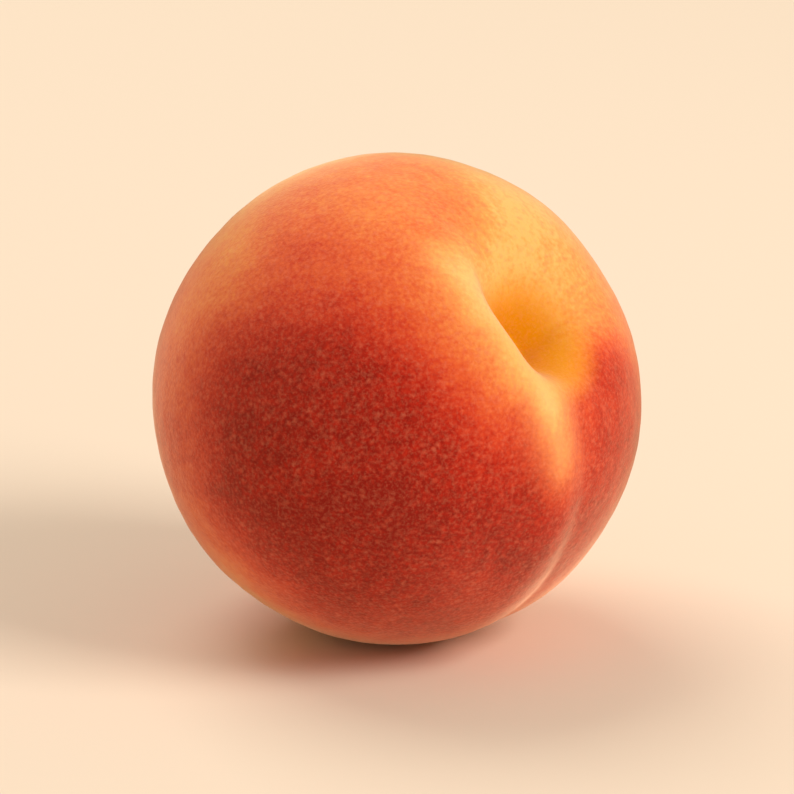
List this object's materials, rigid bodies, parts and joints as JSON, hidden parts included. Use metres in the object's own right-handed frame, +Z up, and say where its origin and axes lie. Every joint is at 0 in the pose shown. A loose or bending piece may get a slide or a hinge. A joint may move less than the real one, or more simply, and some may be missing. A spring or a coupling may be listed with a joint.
{
  "type": "peach",
  "caption": "Whole ripe peach lying on its cheek on a small flat spot, with a stem cavity, suture groove and fuzzy blushed skin.",
  "frame": {"origin": "centre of the flat spot that the fruit rests on", "axes": "+Z up, -Y the front, with the stem axis leaning out to +X, -Y and up"},
  "size_m": [0.0738, 0.0738, 0.0733],
  "materials": {
    "peach_skin": "matte"
  },
  "bodies": {
    "root": {"peach": "peach_skin"}
  },
  "joints": []
}
